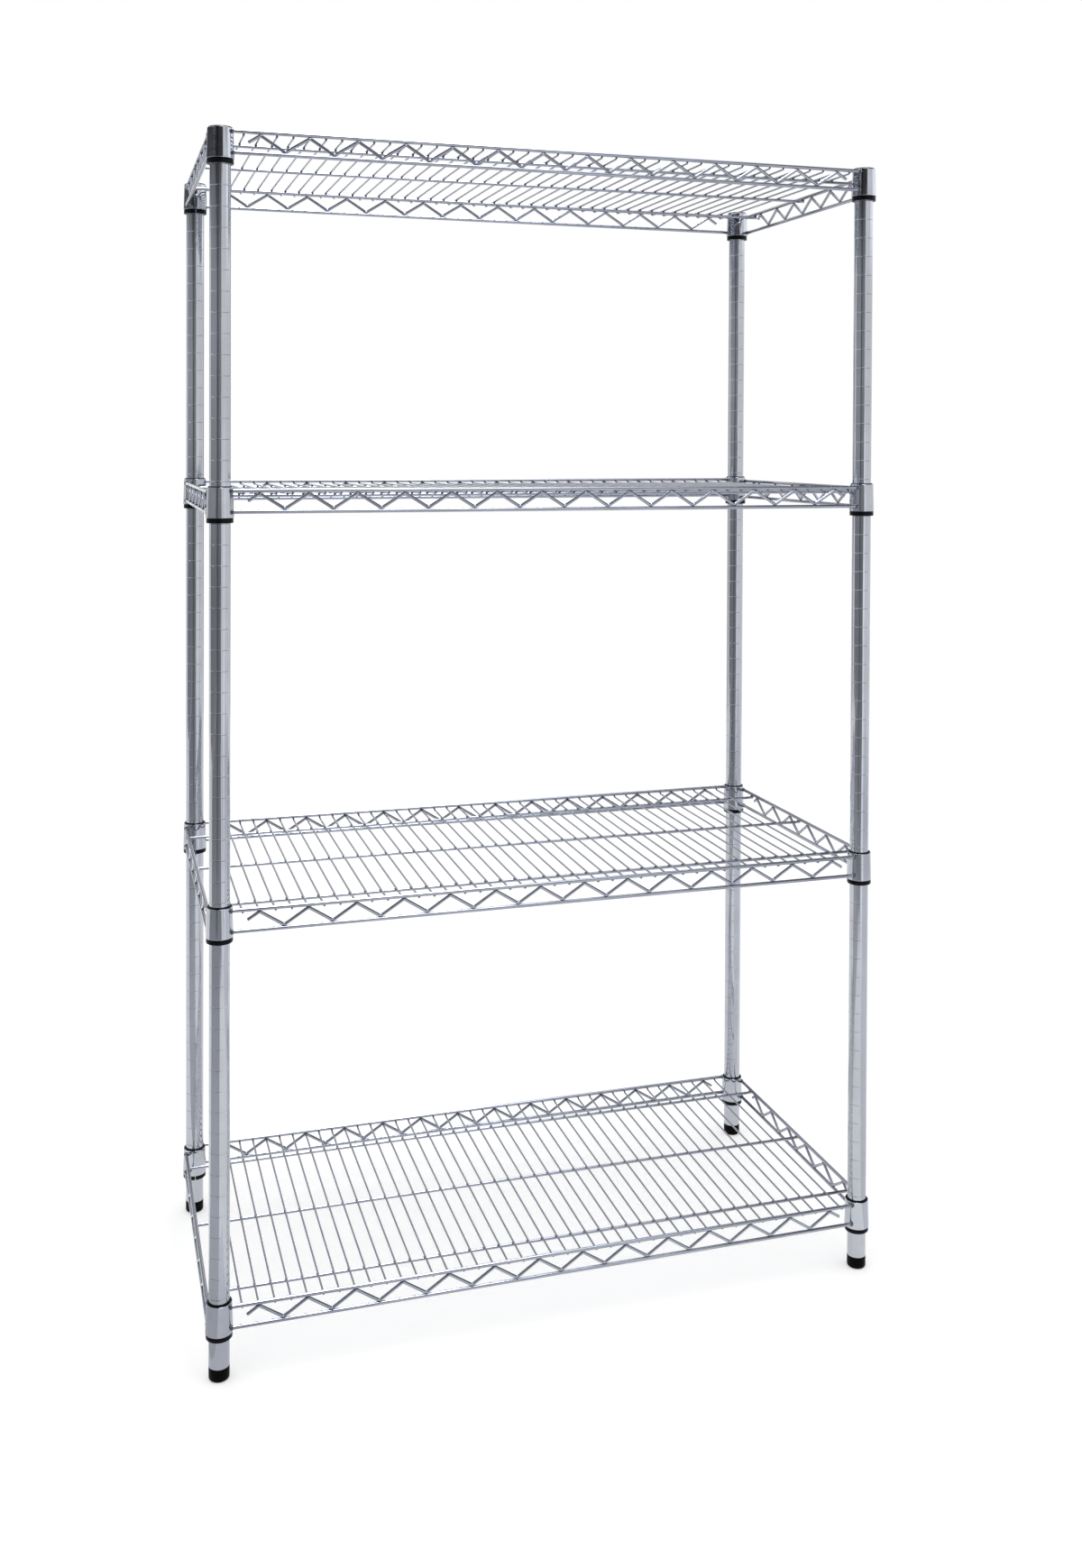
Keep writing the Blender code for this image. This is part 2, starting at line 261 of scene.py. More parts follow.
def plasticMaterial(look):
    made, tree, shader = newMaterial(look["name"])
    link = tree.links.new
    shader.inputs["Metallic"].default_value = 0
    shader.inputs["Specular IOR Level"].default_value = look["specular"]
    grain = groupNode(tree, mouldingGroup, look["grain"])
    link(mixColour(tree, look["deep"], look["rubbed"], grain.outputs["Scuffs"]), shader.inputs["Base Color"])
    rough = rangeNode(tree, 0.0, 1.0, *look["roughness"])
    link(grain.outputs["Scuffs"], rough.inputs["Value"])
    link(rough.outputs["Result"], shader.inputs["Roughness"])
    addBump(tree, shader, grain.outputs["Grain"], *look["bump"])
    return made


postChrome = chromeMaterial({
    "name": "postChrome",
    "clean": (0.484, 0.505, 0.547),
    "film": (0.446, 0.463, 0.497),
    "speck": (0.36, 0.37, 0.41),
    "weld": (0.20, 0.20, 0.22),
    "roughness": (0.05, 0.13),
    "weldRoughness": 0.2,
    "wear": {"Haze Scale": 16.0, "Speck Scale": 520.0, "Line Stretch": (900.0, 900.0, 9.0)},
    "bump": (0.10, 0.0004),
})
wireChrome = chromeMaterial({
    "name": "wireChrome",
    "clean": (0.352, 0.372, 0.428),
    "film": (0.312, 0.330, 0.380),
    "speck": (0.20, 0.21, 0.24),
    "weld": (0.11, 0.115, 0.13),
    "roughness": (0.08, 0.18),
    "weldRoughness": 0.22,
    "wear": {"Haze Scale": 24.0, "Speck Scale": 500.0, "Line Stretch": (300.0, 300.0, 300.0)},
    "bump": (0.12, 0.0003),
})
collarChrome = chromeMaterial({
    "name": "collarChrome",
    "clean": (0.488, 0.509, 0.551),
    "film": (0.436, 0.453, 0.493),
    "speck": (0.28, 0.28, 0.31),
    "weld": (0.18, 0.18, 0.20),
    "roughness": (0.06, 0.15),
    "weldRoughness": 0.2,
    "wear": {"Haze Scale": 30.0, "Speck Scale": 520.0, "Line Stretch": (700.0, 700.0, 7.0)},
    "bump": (0.08, 0.0003),
})
insertZinc = chromeMaterial({
    "name": "insertZinc",
    "clean": (0.52, 0.53, 0.54),
    "film": (0.40, 0.41, 0.42),
    "speck": (0.26, 0.26, 0.27),
    "weld": (0.20, 0.20, 0.20),
    "roughness": (0.30, 0.48),
    "weldRoughness": 0.1,
    "wear": {"Haze Scale": 90.0, "Speck Scale": 600.0, "Line Stretch": (500.0, 500.0, 500.0)},
    "bump": (0.25, 0.0004),
})
sleevePlastic = plasticMaterial({
    "name": "sleevePlastic",
    "deep": (0.0025, 0.0028, 0.0045),
    "rubbed": (0.007, 0.0075, 0.010),
    "roughness": (0.26, 0.42),
    "specular": 0.10,
    "grain": {"Grain Scale": 1500.0, "Scuff Scale": 75.0},
    "bump": (0.12, 0.0003),
})
capPlastic = plasticMaterial({
    "name": "capPlastic",
    "deep": (0.004, 0.004, 0.005),
    "rubbed": (0.011, 0.011, 0.013),
    "roughness": (0.34, 0.52),
    "specular": 0.12,
    "grain": {"Grain Scale": 1100.0, "Scuff Scale": 110.0},
    "bump": (0.20, 0.0004),
})
footPlastic = plasticMaterial({
    "name": "footPlastic",
    "deep": (0.0012, 0.0012, 0.0014),
    "rubbed": (0.005, 0.005, 0.0055),
    "roughness": (0.36, 0.55),
    "specular": 0.05,
    "grain": {"Grain Scale": 900.0, "Scuff Scale": 130.0},
    "bump": (0.25, 0.0005),
})
print("materials ready:", len(bpy.data.materials))


# Mesh helpers
meshSetup = {
    "merge": 1e-6,
    "cut": 1e-7,
    "sharpAngle": 40,
    "rimSegments": 4,
    "wireSides": 16,
    "bendSteps": 5,
    "tipLead": 1.5,  # in wire radii: keeps a rounded tip's shading off the rest of the wire
    "tipRounding": 0.3,  # in wire radii
    "tipSegments": 2,
}


def newShape():
    shape = bmesh.new()
    shape.verts.layers.float.new("weldShade")
    return shape


def finishMesh(shape, name, sharpAngle=meshSetup["sharpAngle"]):
    bmesh.ops.recalc_face_normals(shape, faces=shape.faces)
    mesh = bpy.data.meshes.new(name)
    shape.to_mesh(mesh)
    shape.free()
    mesh.shade_smooth()
    mesh.set_sharp_from_angle(angle=math.radians(sharpAngle))
    return mesh


def placePiece(name, mesh, move, material, body, node):
    mesh = mesh.copy()
    mesh.name = name
    mesh.transform(move)
    mesh.materials.append(material)
    piece = bpy.data.objects.new(name, mesh)
    scene.collection.objects.link(piece)
    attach(piece, body)
    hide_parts(node)
    return piece


def onlyEdges(geometry):
    return [item for item in geometry if isinstance(item, bmesh.types.BMEdge)]


def onlyVerts(geometry):
    return [item for item in geometry if isinstance(item, bmesh.types.BMVert)]


def turnProfile(shape, points, rounding, steps, closed, sweep=fullTurn, begin=0.0):
    # Rounds a (radius, height) outline, then spins it about Z
    verts = [shape.verts.new((radius, 0, height)) for radius, height in points]
    pairs = list(zip(verts, verts[1:]))
    if closed:
        pairs.append((verts[-1], verts[0]))
    for pair in pairs:
        shape.edges.new(pair)
    for place, size in rounding.items():
        bmesh.ops.bevel(shape, geom=[verts[place]], offset=size, segments=meshSetup["rimSegments"],
                        profile=0.5, affect="VERTICES", material=-1)
    outline = [edge for edge in shape.edges if not edge.link_faces]
    geometry = list({vert for edge in outline for vert in edge.verts}) + outline
    if begin:
        turn = Matrix.Rotation(begin, 3, "Z")
        bmesh.ops.rotate(shape, cent=(0, 0, 0), matrix=turn, verts=onlyVerts(geometry))
    whole = sweep == fullTurn
    spun = bmesh.ops.spin(shape, geom=geometry, cent=(0, 0, 0), axis=(0, 0, 1), dvec=(0, 0, 0),
                          angle=sweep, steps=steps, use_merge=whole)
    if not whole:  # close the two faces of the slit
        for loop in (outline, onlyEdges(spun["geom_last"])):
            bmesh.ops.contextual_create(shape, geom=[edge for edge in loop if edge.is_valid])
    bmesh.ops.remove_doubles(shape, verts=shape.verts, dist=meshSetup["merge"])


def bendWire(shape, start, aim, side, radius, moves):
    # Feeds a wire along aim and bends it about side, as a wire bender does
    # moves are (feed, angle, bend radius)
    spot, ahead = Vector(start), Vector(aim).normalized()
    side = Vector(side).normalized()
    turn = ahead.to_track_quat("Z", "Y").to_matrix().to_4x4()
    ring = bmesh.ops.create_circle(shape, cap_ends=False, segments=meshSetup["wireSides"], radius=radius,
                                   matrix=Matrix.Translation(spot) @ turn)
    rim = list({edge for vert in ring["verts"] for edge in vert.link_edges})
    ends = [rim]
    lead = meshSetup["tipLead"] * radius
    tip = (lead, 0, 0)
    first, last = moves[0], moves[-1]
    if len(moves) == 1:
        moves = [tip, (first[0] - 2 * lead, 0, 0), tip]
    else:
        begin = (first[0] - lead, *first[1:])
        finish = (last[0] - lead, 0, 0)
        moves = [tip, begin, *moves[1:-1], finish, tip]
    for feed, angle, bend in moves:
        grown = bmesh.ops.extrude_edge_only(shape, edges=rim)["geom"]
        bmesh.ops.translate(shape, verts=onlyVerts(grown), vec=ahead * feed)
        rim = [edge for edge in onlyEdges(grown) if edge.is_boundary]
        spot = spot + ahead * feed
        if angle:
            inward = side.cross(ahead) * math.copysign(bend, angle)
            hub = spot + inward
            spun = bmesh.ops.spin(shape, geom=rim, cent=hub, axis=side, dvec=(0, 0, 0), angle=angle,
                                  steps=meshSetup["bendSteps"])
            rim = onlyEdges(spun["geom_last"])
            swing = Matrix.Rotation(angle, 3, side)
            spot = hub + swing @ (spot - hub)
            ahead = swing @ ahead
    ends.append(rim)
    for loop in ends:
        lid = bmesh.ops.edgeloop_fill(shape, edges=loop)["faces"]
        bmesh.ops.bevel(shape, geom=list({edge for face in lid for edge in face.edges}),
                        offset=radius * meshSetup["tipRounding"], segments=meshSetup["tipSegments"],
                        profile=0.5, affect="EDGES", material=-1)


def addBead(shape, place, size, across=8, rings=6):
    # A weld bead: a flattened ball that fills the corner where two wires meet
    shade = shape.verts.layers.float["weldShade"]
    move = Matrix.Translation(place) @ Matrix.Diagonal((*size, 1))
    ball = bmesh.ops.create_uvsphere(shape, u_segments=across, v_segments=rings, radius=1, matrix=move)
    for vert in ball["verts"]:
        vert[shade] = 1.0


# Posts, caps, feet and sleeves, from the boxes of the CAD nodes they stand for
postTube = {
    "radius": 0.0127,
    "bore": 0.0113,
    "rim": 0.0005,  # rounding of the tube's cut ends
    "groovePitch": 0.0254,
    "firstGroove": 0.0758,
    "grooveHalfWidth": 0.0006,
    "floorHalfWidth": 0.0002,  # flat bottom of a groove
    "grooveDepth": 0.00016,
    "sharpAngle": 12,
    "steps": 44,
}


def makePost(look, low, high):
    outline = [(look["bore"], low), (look["radius"], low)]
    floorRadius = look["radius"] - look["grooveDepth"]
    groove = look["firstGroove"]
    while groove < high - look["groovePitch"] / 2:
        outline.append((look["radius"], groove - look["grooveHalfWidth"]))
        outline.append((floorRadius, groove - look["floorHalfWidth"]))
        outline.append((floorRadius, groove + look["floorHalfWidth"]))
        outline.append((look["radius"], groove + look["grooveHalfWidth"]))
        groove += look["groovePitch"]
    outline += [(look["radius"], high), (look["bore"], high)]
    shape = newShape()
    last = len(outline) - 1
    turnProfile(shape, outline, {1: look["rim"], last - 1: look["rim"]}, look["steps"], closed=True)
    return finishMesh(shape, "postTube", look["sharpAngle"])


postCap = {
    "radius": 0.0127,
    "plug": 0.0110,
    "rim": 0.0007,
    "crown": 0.0004,
    "domeShare": 0.55,  # of the radius, where the crown has fallen by domeDrop of its height
    "domeDrop": 0.3,
    "edgeShare": 0.86,  # of the radius, where the flat edge begins
    "plugDepth": 0.012,
    "gap": 0.0003,  # between the tube's end and the cap
    "steps": 40,
}


def makeCap(look, seat, top):
    outline = [
        (0, top),
        (look["radius"] * look["domeShare"], top - look["crown"] * look["domeDrop"]),
        (look["radius"] * look["edgeShare"], top - look["crown"]),
        (look["radius"], top - look["crown"]),
        (look["radius"], seat),
        (look["plug"], seat),
        (look["plug"], seat - look["plugDepth"]),
        (0, seat - look["plugDepth"]),
    ]
    shape = newShape()
    turnProfile(shape, outline, {3: look["rim"], 6: look["rim"]}, look["steps"], closed=False)
    return finishMesh(shape, "postCap")


levellingFoot = {
    "radius": 0.0127,
    "padTop": 0.0157,
    "topRim": 0.0006,
    "bottomRim": 0.0030,
    "seam": 0.0002,  # the mould's parting line round the pad
    "seamHeight": 0.0085,
    "studRadius": 0.0047,
    "threadDepth": 0.0006,
    "threadPitch": 0.00125,
    "studTop": 0.035,
    "steps": 40,
}


def makeFoot(look):
    outline = [(0, look["studTop"]), (look["studRadius"] - look["threadDepth"], look["studTop"])]
    height = look["studTop"] - look["threadPitch"] / 2
    while height > look["padTop"] + look["threadPitch"]:  # thread as rings
        outline.append((look["studRadius"], height))
        outline.append((look["studRadius"] - look["threadDepth"], height - look["threadPitch"] / 2))
        height -= look["threadPitch"]
    outline.append((look["studRadius"] - look["threadDepth"], look["padTop"]))
    upper = len(outline)
    outline += [
        (look["radius"], look["padTop"]),
        (look["radius"], look["seamHeight"] + look["seam"]),
        (look["radius"] - look["seam"], look["seamHeight"]),
        (look["radius"], look["seamHeight"] - look["seam"]),
        (look["radius"], 0),
        (0, 0),
    ]
    shape = newShape()
    rims = {upper: look["topRim"], upper + 4: look["bottomRim"]}
    turnProfile(shape, outline, rims, look["steps"], closed=False)
    return finishMesh(shape, "levellingFoot")


sleeveRing = {
    "bore": 0.0130,
    "topRadius": 0.01445,
    "footRadius": 0.0151,
    "flangeRadius": 0.0162,
    "flangeHeight": 0.0060,
    "height": 0.0445,
    "rim": 0.0009,
    "topRim": 0.0003,
    "slit": 0.0012,
    "steps": 46,
}


def makeSleeve(look):
    outline = [
        (look["topRadius"], look["height"]),
        (look["footRadius"], look["flangeHeight"]),
        (look["flangeRadius"], look["flangeHeight"]),
        (look["flangeRadius"], 0),
        (look["bore"], 0),
        (look["bore"], look["height"]),
    ]
    shape = newShape()
    gap = look["slit"] / look["topRadius"]
    rounding = {0: look["topRim"], 2: look["rim"], 3: look["rim"]}
    turnProfile(shape, outline, rounding, look["steps"], closed=True, sweep=fullTurn - gap,
                begin=math.pi / 2 + gap / 2)
    return finishMesh(shape, "sleeveRing")


def centreOf(node):
    low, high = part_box(node)
    return Vector(((low.x + high.x) / 2, (low.y + high.y) / 2, 0)), low.z, high.z


def addPosts():
    _, low, high = centreOf("post_front_left")
    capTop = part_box("post_cap_front_left")[1].z
    tube = makePost(postTube, low, high)
    cap = makeCap(postCap, high + postCap["gap"], capTop)
    foot = makeFoot(levellingFoot)
    sleeve = makeSleeve(sleeveRing)
    for corner in cornerNames:
        middle = centreOf("post_" + corner)[0]
        move = Matrix.Translation(middle)
        placePiece("post_tube_" + corner, tube, move, postChrome, "posts", "post_" + corner)
        placePiece("post_end_cap_" + corner, cap, move, capPlastic, "posts", "post_cap_" + corner)
        placePiece("screw_foot_" + corner, foot, move, footPlastic, "foot_" + corner,
                   "levelling_foot_" + corner)
        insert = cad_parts["foot_insert_" + corner].data
        insert.materials.clear()
        insert.materials.append(insertZinc)
        inward = Matrix.Identity(4) if middle.y < 0 else halfTurn
        for number in shelfNumbers:
            node = f"sleeve_{number}_{corner}"
            seat = Vector((middle.x, middle.y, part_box(node)[0].z))
            placePiece(f"taper_sleeve_{number}_{corner}", sleeve, Matrix.Translation(seat) @ inward,
                       sleevePlastic, "posts", node)
    for mesh in (tube, cap, foot, sleeve):
        bpy.data.meshes.remove(mesh)


addPosts()
print("posts, caps, feet and sleeves made")


# Shelves: heights are above the bottom of the shelf's sleeves
collar = {
    "foot": 0.0063,
    "top": 0.0432,
    "footRadius": 0.01679,
    "topRadius": 0.01564,
    "footWall": 0.0014,
    "topWall": 0.0008,
    "rim": 0.00035,
    "hold": 0.0008,  # a ring this far inside each rim keeps the taper's shading straight
    "sharpAngle": 12,
    "steps": 44,
}
shelfPlan = {"postX": 0.434, "postY": 0.208}
railWeld = {
    "spare": 0.003,  # extra rail length, cut off where the rail meets its collar
    "sink": 0.0005,  # how far the cut end reaches into the collar
    "beadBack": 0.0006,  # from the collar's face to the middle of the bead
    "bead": (0.0032, 0.0032, 0.0031),
    "across": 12,
    "rings": 8,
}
zigzagWeld = {
    "rise": 0.0018,  # from a bend's centre line towards its rail
    "bead": (0.0021, 0.0021, 0.0012),
}
longTruss = {
    "railRadius": 0.0024,
    "zigzagRadius": 0.0020,
    "railY": -0.218,
    "upperZ": 0.0391,
    "lowerZ": 0.0135,
    "peaks": 14,
    "period": 0.05955,
    "height": 0.0172,
    "stub": 0.0145,
    "bend": 0.0040,
}
endTruss = {
    "railRadius": 0.0024,
    "zigzagRadius": 0.0020,
    "railX": -0.447,
    "upperZ": 0.0369,
    "lowerZ": 0.0113,
    "peaks": 6,
    "period": 0.0583,
    "height": 0.0172,
    "stub": 0.0090,
    "bend": 0.0040,
}
wireMat = {
    "wireRadius": 0.0013,
    "wires": 42,
    "pitch": 0.01985,
    "halfLength": 0.2158,
    "wireZ": 0.0350,
    "supportRadius": 0.0020,
    "supportHalfLength": 0.4494,
    "centreZ": 0.0322,
    "sideY": 0.166,
    "sideZ": 0.0313,
    "bead": (0.0022, 0.0022, 0.0010),
    "railBead": (0.0015, 0.0016, 0.0012),
    "railBeadOut": 0.0008,  # past the wire's end
    "railBeadRise": 0.0013,
    "endRailBead": (0.0024, 0.0022, 0.0018),
    "endRailRise": 0.0004,
}


def collarRadius(height):
    share = (height - collar["foot"]) / (collar["top"] - collar["foot"])
    return collar["footRadius"] + share * (collar["topRadius"] - collar["footRadius"])


def addZigzag(shape, look, along, up, middle):
    # Straight legs run tangent from bend to bend, so each bend's crest just reaches its rail
    run = look["period"] / 2
    climb = look["height"] - 2 * look["bend"]
    spread = math.hypot(run, climb)
    slope = math.atan2(climb, run) + math.asin(2 * look["bend"] / spread)
    leg = math.sqrt(spread ** 2 - 4 * look["bend"] ** 2)
    tail = (look["stub"] - look["bend"] * math.sin(slope)) / math.cos(slope)
    first = -(look["peaks"] - 1) * run
    side = along.cross(up)
    moves = []
    for index in range(2 * look["peaks"] - 1):
        feed = tail if index == 0 else leg
        moves.append((feed, -2 * slope if index % 2 == 0 else 2 * slope, look["bend"]))
    moves.append((tail, 0, 0))
    crest = along * (first - look["bend"] * math.sin(slope))
    crest = crest + up * (look["height"] / 2 - look["bend"] * (1 - math.cos(slope)))
    aim = along * math.cos(slope) + up * math.sin(slope)
    bendWire(shape, middle + crest - aim * tail, aim, side, look["zigzagRadius"], moves)
    for index in range(2 * look["peaks"] - 1):
        rise = (look["height"] / 2 + zigzagWeld["rise"]) * (1 if index % 2 == 0 else -1)
        addBead(shape, middle + along * (first + index * run) + up * rise, zigzagWeld["bead"])


def trimEnd(shape, verts, point, normal):
    # Cuts a rail's end to the collar that it is welded to, and closes the cut
    faces = list({face for vert in verts if vert.is_valid for face in vert.link_faces})
    edges = list({edge for face in faces for edge in face.edges})
    corners = list({vert for face in faces for vert in face.verts})
    cut = bmesh.ops.bisect_plane(shape, geom=corners + edges + faces, dist=meshSetup["cut"],
                                 plane_co=point, plane_no=normal, clear_outer=True)
    bmesh.ops.edgeloop_fill(shape, edges=onlyEdges(cut["geom_cut"]))


def addRail(shape, look, along, middle, halfSpan, offset, height):
    # A straight rail between two collars; offset is how far its line passes from the collars' centres
    reach = math.sqrt(collarRadius(height) ** 2 - offset ** 2)
    halfLength = halfSpan - reach + railWeld["spare"]
    before = set(shape.verts)
    bendWire(shape, middle - along * halfLength, along, upAxis, look["railRadius"],
             [(2 * halfLength, 0, 0)])
    outward = Vector((0, -1, 0)) if along.x else Vector((-1, 0, 0))
    for sign in (-1, 1):
        verts = [vert for vert in shape.verts if vert not in before]
        meet = middle + along * sign * (halfSpan - reach + railWeld["sink"])
        normal = along * sign * reach - outward * offset
        trimEnd(shape, verts, meet, normal)
        weld = middle + along * sign * (halfSpan - reach - railWeld["beadBack"])
        addBead(shape, weld, railWeld["bead"], railWeld["across"], railWeld["rings"])


def makeLongTruss(look):
    shape = newShape()
    along = Vector((1, 0, 0))
    offset = -look["railY"] - shelfPlan["postY"]
    for height in (look["upperZ"], look["lowerZ"]):
        addRail(shape, look, along, Vector((0, look["railY"], height)), shelfPlan["postX"], offset, height)
    middle = Vector((0, look["railY"], (look["upperZ"] + look["lowerZ"]) / 2))
    addZigzag(shape, look, along, upAxis, middle)
    return finishMesh(shape, "longTruss")


def makeEndFrame(look):
    shape = newShape()
    along = Vector((0, 1, 0))
    offset = -look["railX"] - shelfPlan["postX"]
    for height in (look["upperZ"], look["lowerZ"]):
        addRail(shape, look, along, Vector((look["railX"], 0, height)), shelfPlan["postY"], offset, height)
    middle = Vector((look["railX"], 0, (look["upperZ"] + look["lowerZ"]) / 2))
    addZigzag(shape, look, along, upAxis, middle)
    return finishMesh(shape, "endFrame")


def makeCollars():
    shape = newShape()
    outline = [
        (collar["footRadius"] - collar["footWall"], collar["foot"]),
        (collar["footRadius"], collar["foot"]),
        (collarRadius(collar["foot"] + collar["hold"]), collar["foot"] + collar["hold"]),
        (collarRadius(collar["top"] - collar["hold"]), collar["top"] - collar["hold"]),
        (collar["topRadius"], collar["top"]),
        (collar["topRadius"] - collar["topWall"], collar["top"]),
    ]
    rims = dict.fromkeys((0, 1, 4, 5), collar["rim"])
    turnProfile(shape, outline, rims, collar["steps"], closed=True)
    first = list(shape.verts) + list(shape.edges) + list(shape.faces)
    twin = onlyVerts(bmesh.ops.duplicate(shape, geom=first)["geom"])
    bmesh.ops.translate(shape, verts=twin, vec=(-shelfPlan["postX"], shelfPlan["postY"], 0))
    bmesh.ops.translate(shape, verts=onlyVerts(first), vec=(-shelfPlan["postX"], -shelfPlan["postY"], 0))
    return finishMesh(shape, "collars", collar["sharpAngle"])


def makeSupport(look, y, z):
    shape = newShape()
    bendWire(shape, (-look["supportHalfLength"], y, z), (1, 0, 0), upAxis, look["supportRadius"],
             [(2 * look["supportHalfLength"], 0, 0)])
    return shape


def wireRows(look):
    first = -(look["wires"] - 1) * look["pitch"] / 2
    return [first + index * look["pitch"] for index in range(look["wires"])]


def addCrossingBeads(shape, look, y, z):
    for x in wireRows(look):
        addBead(shape, (x, y, z + look["supportRadius"]), look["bead"])
    for x in (endTruss["railX"], -endTruss["railX"]):
        addBead(shape, (x, y, z + look["supportRadius"] + look["endRailRise"]), look["endRailBead"])


def makeMat(look):
    shape = makeSupport(look, 0, look["centreZ"])
    addCrossingBeads(shape, look, 0, look["centreZ"])
    for x in wireRows(look):
        start = (x, -look["halfLength"], look["wireZ"])
        bendWire(shape, start, (0, 1, 0), upAxis, look["wireRadius"], [(2 * look["halfLength"], 0, 0)])
        for sign in (-1, 1):
            weldY = sign * (look["halfLength"] + look["railBeadOut"])
            addBead(shape, (x, weldY, look["wireZ"] + look["railBeadRise"]), look["railBead"])
    return finishMesh(shape, "wireMat")


def makeSideSupport(look):
    shape = makeSupport(look, -look["sideY"], look["sideZ"])
    addCrossingBeads(shape, look, -look["sideY"], look["sideZ"])
    return finishMesh(shape, "sideSupport")


def joinCollars(truss, collars):
    # The end frame is one piece with two finishes: slot 0 for its wires, slot 1 for its collars
    shape = bmesh.new()
    shape.from_mesh(truss)
    count = len(shape.faces)
    shape.from_mesh(collars)
    shape.faces.ensure_lookup_table()
    for face in shape.faces[count:]:
        face.material_index = 1
    shape.to_mesh(truss)
    shape.free()
    return truss


def addShelves():
    front = makeLongTruss(longTruss)
    left = joinCollars(makeEndFrame(endTruss), makeCollars())
    mat = makeMat(wireMat)
    support = makeSideSupport(wireMat)
    for number in shelfNumbers:
        body = f"shelf_{number}"
        lift = Matrix.Translation((0, 0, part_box(f"sleeve_{number}_front_left")[0].z))
        for mesh, turn, node in (
            (front, Matrix.Identity(4), "front_truss"),
            (front, halfTurn, "back_truss"),
            (left, Matrix.Identity(4), "left_end_frame"),
            (left, halfTurn, "right_end_frame"),
            (mat, Matrix.Identity(4), "wire_mat"),
            (support, Matrix.Identity(4), "front_support"),
            (support, halfTurn, "back_support"),
        ):
            piece = placePiece(f"{body}_welded_{node}", mesh, lift @ turn, wireChrome, body, f"{body}_{node}")
            if mesh is left:
                piece.data.materials.append(collarChrome)
    for mesh in (front, left, mat, support):
        bpy.data.meshes.remove(mesh)


addShelves()
print("shelves made:", len(shelfNumbers))


# Stage: pale floor, white surround, soft lamps, and cards that only the chrome sees
stageLook = {
    "floorSize": 16.0,
    "floorColour": (0.80, 0.80, 0.80),
    "floorGlow": 0.34,
    "floorDrop": 0.0003,  # keeps the floor just clear of the feet
    "surround": 1.0,
    "fill": 0.85,
    "cardTint": (0.97, 0.985, 1.045),
}


def backgroundRays(tree):
    # 1 where the camera, a mirror or a clear surface looks at the background
    rays = tree.nodes.new("ShaderNodeLightPath")
    total = rays.outputs["Is Camera Ray"]
    for label in ("Is Glossy Ray", "Is Transmission Ray"):
        joined = tree.nodes.new("ShaderNodeMath")
        joined.operation = "MAXIMUM"
        tree.links.new(total, joined.inputs[0])
        tree.links.new(rays.outputs[label], joined.inputs[1])
        total = joined.outputs["Value"]
    return total


def addSurround(look):
    world = bpy.data.worlds.new("surround")
    world.use_nodes = True
    tree = world.node_tree
    background = tree.nodes["Background"]
    background.inputs["Color"].default_value = (1, 1, 1, 1)
    strength = rangeNode(tree, 0.0, 1.0, look["fill"], look["surround"])
    tree.links.new(backgroundRays(tree), strength.inputs["Value"])
    tree.links.new(strength.outputs["Result"], background.inputs["Strength"])
    scene.world = world


def addFloor(look):
    made, tree, shader = newMaterial("paleFloor")
    shader.inputs["Base Color"].default_value = (*look["floorColour"], 1)
    shader.inputs["Roughness"].default_value = 1
    shader.inputs["Specular IOR Level"].default_value = 0
    shader.inputs["Emission Color"].default_value = (1, 1, 1, 1)
    glow = rangeNode(tree, 0.0, 1.0, 0.0, look["floorGlow"])
    tree.links.new(backgroundRays(tree), glow.inputs["Value"])
    tree.links.new(glow.outputs["Result"], shader.inputs["Emission Strength"])
    shape = bmesh.new()
    bmesh.ops.create_grid(shape, x_segments=4, y_segments=4, size=look["floorSize"] / 2)
    mesh = bpy.data.meshes.new("paleFloor")
    shape.to_mesh(mesh)
    shape.free()
    mesh.materials.append(made)
    floor = bpy.data.objects.new("paleFloor", mesh)
    floor.location = (0, 0, -look["floorDrop"])
    scene.collection.objects.link(floor)


